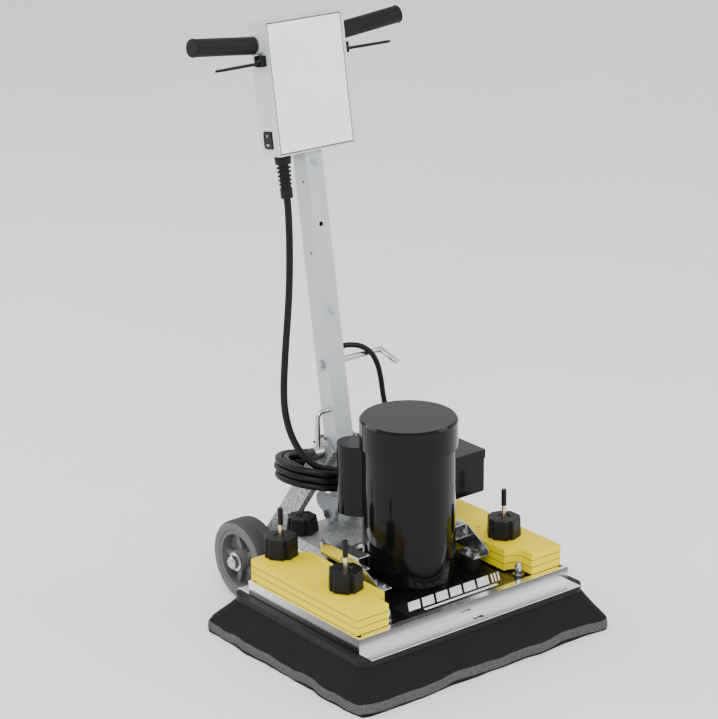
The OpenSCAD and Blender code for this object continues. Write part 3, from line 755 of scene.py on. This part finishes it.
def make_label():
    """A plain decal on the deck's front, with slanted blocks in place of any words."""
    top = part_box("deck_plate")[1][2] / MM
    plate = prism("deck_decal", [(x * MM, y * MM) for x, y in round_box(-118, 146, -150, -94, 4)],
                  (top + 0.05) * MM, (top + 0.6) * MM, LABEL_BLACK, "head", bevel=0.15 * MM)

    def block(name, x, width, low, high, slant):
        outline = [(x, low), (x + width, low), (x + width + slant, high), (x + slant, high)]
        prism(name, [(px * MM, py * MM) for px, py in outline], (top + 0.6) * MM, (top + 0.8) * MM,
                      LABEL_WHITE, "head")

    for i in range(6):
        block(f"decal_block_{i}", -106 + 34 * i, 28, -129, -98, 22)
    for i in range(3):
        block(f"decal_stripe_{i}", 99 + 8 * i, 4, -129, -98, 22)
    block("decal_line", -78, 180, -143, -137, 0)


def make_panel_shadow_line():
    """A painted shadow: a thin black band laid round the front panel's edge where the gap's shade falls.
    """
    width, rise = 1.3, 0.3
    rings = []
    for inset, lift in ((0, 0), (0, rise), (width, rise), (width, 0), (0, 0)):
        left, right = PANEL_X[0] + inset, PANEL_X[1] - inset
        low, high = PANEL_S[0] + inset, PANEL_S[1] - inset
        corners = [(left, low), (right, low), (right, high), (left, high)]
        rings.append([TUBE @ (Vector((x, PANEL_FACE - lift, z)) * MM) for x, z in corners])
    # black band standing in for the shade in the gap round the panel
    shadow_line = new_piece("panel_shadow_line", *stack(rings, closed_ends=False), LABEL_BLACK, "handle", smooth=False)


def make_rocker_marks():
    """The on and off marks of the rocker."""
    offset, lean, thick = 7.5, 7, 0.25
    for sign, name in ((1, "on"), (-1, "off")):
        turn = Matrix.Rotation(math.radians(-90 - lean * sign), 4, "Y")
        place = TUBE @ Matrix.Translation(Vector((ROCKER_FACE, 0, ROCKER_S + sign * offset)) * MM) @ turn
        if name == "on":
            outline = [(x * MM, y * MM) for x, y in round_box(-3.8, 3.8, -0.7, 0.7, 0.4)]
            mark = prism("rocker_mark_on", outline, 0, thick * MM, LABEL_WHITE, "rocker", place)
        else:
            angles = [2 * math.pi * k / 32 for k in range(32)]
            rings = [[place @ (Vector((r * math.cos(a), r * math.sin(a), z)) * MM) for a in angles]
                     for r, z in ((3.6, 0), (3.6, thick), (2.5, thick), (2.5, 0), (3.6, 0))]
            mark = new_piece("rocker_mark_off", *stack(rings, closed_ends=False), LABEL_WHITE, "rocker")


def make_plug_details():
    """A finger grip on the plug's body."""
    for i in range(5):
        x = 14 + 5 * i
        outline = round_box(FOLD + 7 - 15.7, FOLD + 7 + 15.7, 24, 44, 3)
        rings = [[COIL @ (Vector((x + dx, y, z)) * MM) for y, z in outline] for dx in (0, 2)]
        rib = new_piece(f"plug_rib_{i}", *stack(rings), MATERIALS["plastic"], "handle", smooth=False)


make_label()
make_panel_shadow_line()
make_rocker_marks()
make_plug_details()

# ---------------------------------------------------------------- stage and light


def area_light(name, place, target, size, power):
    data = bpy.data.lights.new(name, "AREA")
    data.shape = "RECTANGLE"
    data.size, data.size_y = size
    data.energy = power
    light = bpy.data.objects.new(name, data)
    bpy.context.scene.collection.objects.link(light)
    light.location = place
    light.rotation_euler = (Vector(target) - Vector(place)).to_track_quat("-Z", "Y").to_euler()


def make_stage():
    """A pale floor and sky with three soft lights."""
    points = [(x, y, 0) for x, y in ((-14, -14), (14, -14), (14, 14), (-14, 14))]
    n = Nodes("floor_pale")
    cloud = n.noise(2.0, 3)
    n.paint(n.ramp(cloud, [(0.3, (0.94, 0.94, 0.94)), (0.7, (0.96, 0.96, 0.96))]), n.span(cloud, 0.5, 0.6))
    floor = new_piece("floor", points, [(0, 1, 2, 3)], n.fixed(Specular_IOR_Level=0.2), None, smooth=False)
    world = bpy.data.worlds.new("studio")
    bpy.context.scene.world = world
    world.use_nodes = True
    background = world.node_tree.nodes["Background"]
    nodes, links = world.node_tree.nodes, world.node_tree.links
    split = nodes.new("ShaderNodeSeparateXYZ")
    links.new(nodes.new("ShaderNodeTexCoord").outputs["Generated"], split.inputs["Vector"])
    sky = nodes.new("ShaderNodeValToRGB")
    for element, (height, level) in zip(sky.color_ramp.elements, ((0.0, 0.9), (0.35, 1.0))):
        element.position = height
        element.color = (level, level, level, 1)
    links.new(split.outputs["Z"], sky.inputs["Fac"])
    links.new(sky.outputs["Color"], background.inputs["Color"])
    background.inputs["Strength"].default_value = 1.15
    area_light("key", (-2.0, -2.6, 3.4), (0, 0, 0.4), (2.4, 2.4), 130)
    area_light("fill", (2.8, -1.6, 2.2), (0, 0, 0.4), (1.6, 2.4), 35)
    area_light("back", (-1.8, 2.8, 2.4), (0, 0, 0.4), (2.6, 1.8), 60)


make_stage()
